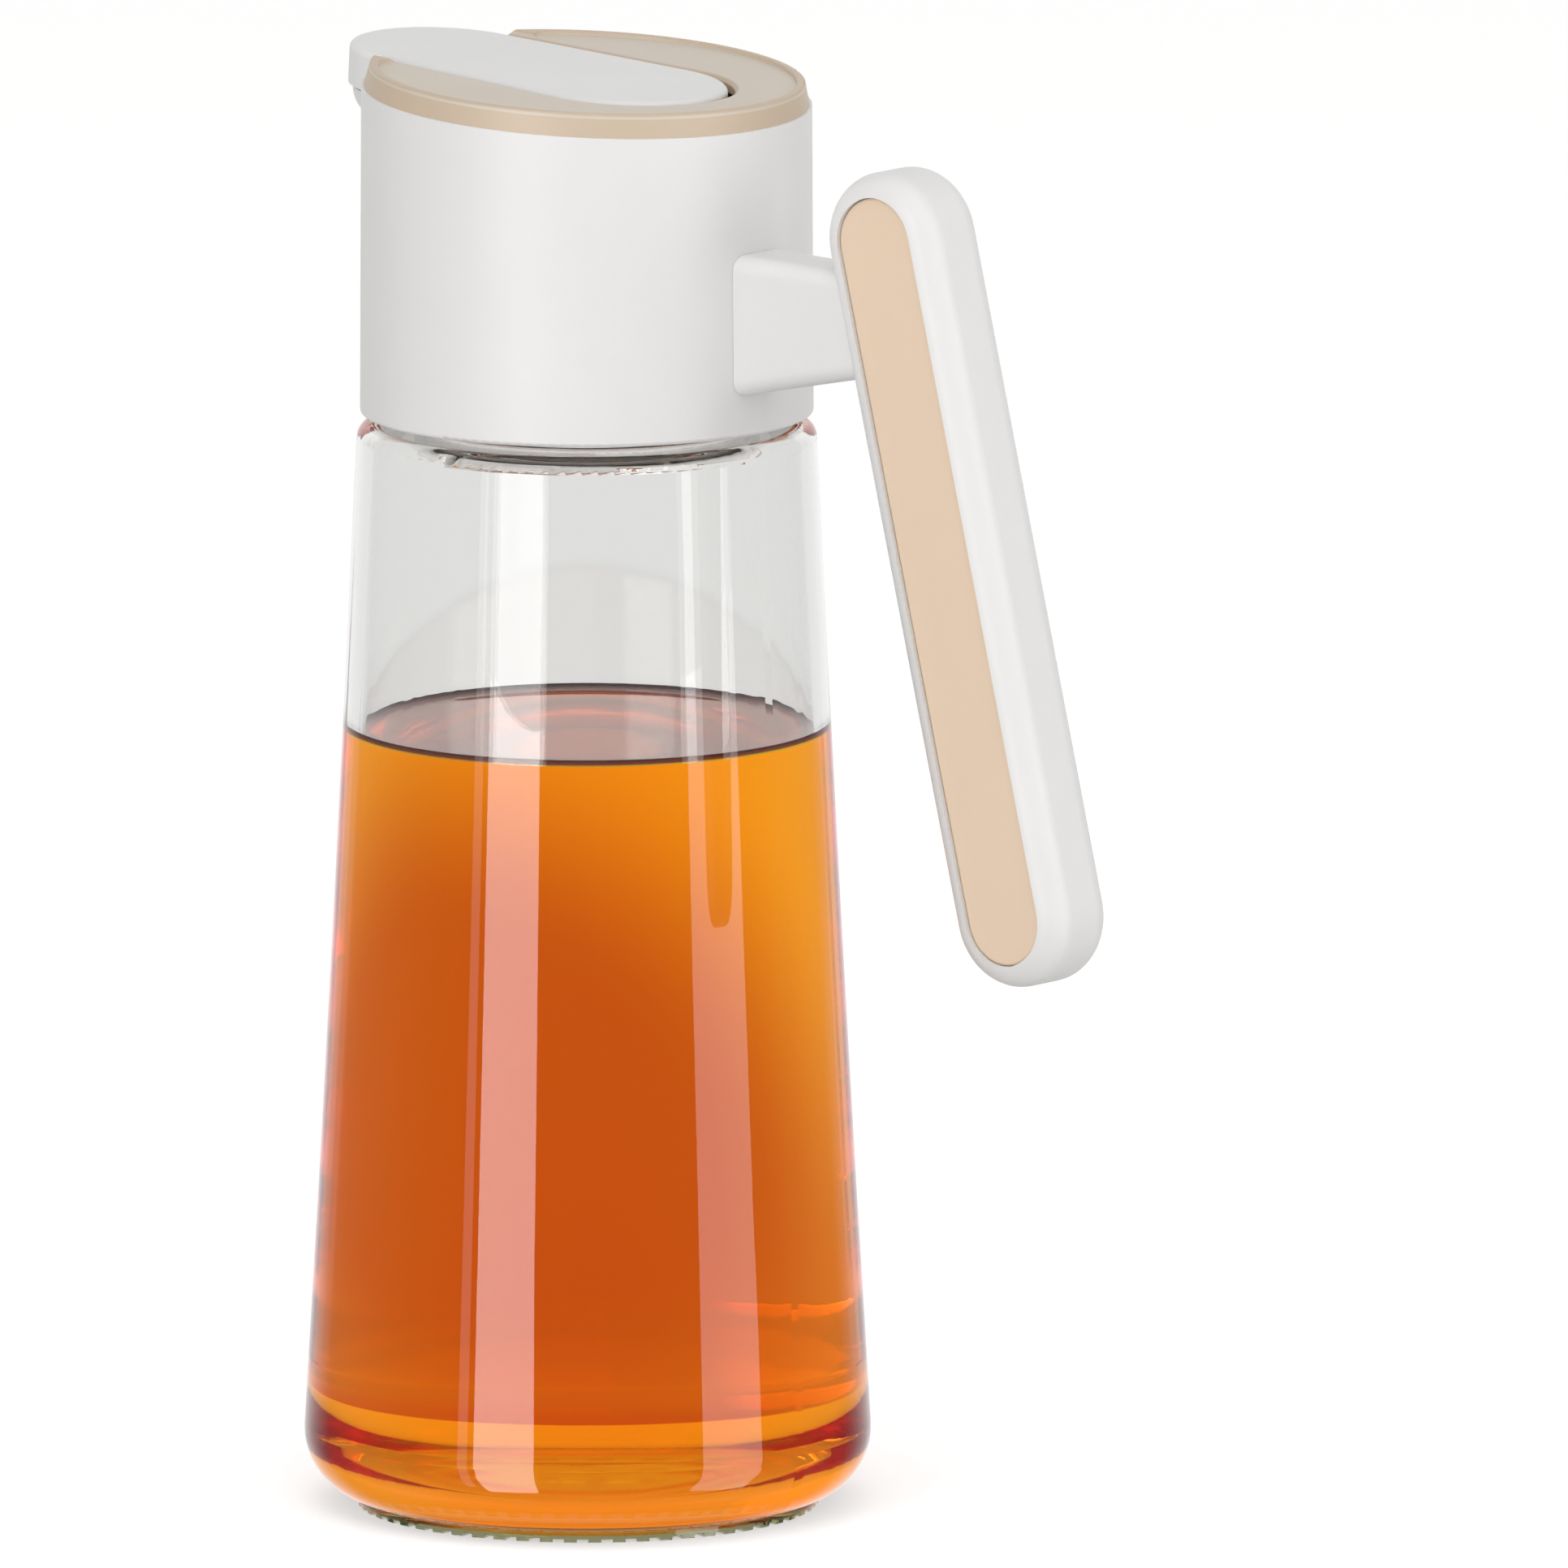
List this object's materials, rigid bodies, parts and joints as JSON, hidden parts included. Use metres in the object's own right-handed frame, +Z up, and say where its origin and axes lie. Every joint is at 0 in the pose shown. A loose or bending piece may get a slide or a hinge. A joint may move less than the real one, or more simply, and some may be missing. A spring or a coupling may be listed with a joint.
{
  "type": "oil pot",
  "caption": "Tapered glass oil pot with a screw-on pouring head, an offset side handle and a weighted hinged lid that opens as the pot is tipped.",
  "frame": {"origin": "centre of the ring that the bottle stands on, at table level", "axes": "+Z up along the bottle's axis, +X from the axis towards the handle, so the spout points to -X; +Y completes the right-hand frame"},
  "size_m": [0.1396, 0.0852, 0.2196],
  "materials": {
    "clear_glass": "clear, fire polished",
    "oil": "clear liquid, stands in as a solid",
    "white_plastic": "satin",
    "inner_white_plastic": "satin",
    "beige_cover": "satin",
    "beige_inlay": "satin",
    "silicone": "soft, translucent white",
    "steel": "plain turned",
    "screw_steel": "zinc plated"
  },
  "bodies": {
    "bottle": {"glass_bottle": "clear_glass", "oil": "oil"},
    "gasket": {"neck_gasket": "silicone"},
    "head": {"threaded_cap": "inner_white_plastic", "cap_screws": "screw_steel", "pourer": "inner_white_plastic", "plug_ring": "silicone", "air_valve": "silicone", "collar": "white_plastic", "cover": "beige_cover", "hinge_pin": "steel", "handle_frame": "white_plastic", "handle_inlay_left": "beige_inlay", "handle_inlay_right": "beige_inlay", "handle_screws": "screw_steel"},
    "lid": {"lid_flap": "white_plastic", "lid_carrier": "inner_white_plastic", "lid_screws": "screw_steel", "counterweight": "steel", "spout_seal": "silicone"}
  },
  "joints": [
    {"name": "head_lift", "type": "slide", "parent": "bottle", "child": "gasket", "axis": [0, 0, 1], "range_m": [0, 0.00751]},
    {"name": "head_turn", "type": "hinge", "parent": "gasket", "child": "head", "pos_m": [0, 0, 0.1744], "axis": [0, 0, 1], "range_deg": [0, 540]},
    {"name": "lid_hinge", "type": "hinge", "parent": "head", "child": "lid", "pos_m": [0.00789, 0, 0.21192], "axis": [0, 1, 0], "range_deg": [0, 65]}
  ],
  "couplings": [
    {"joint": "head_lift", "follows": "head_turn", "m_per_rad": 0.00079577}
  ]
}
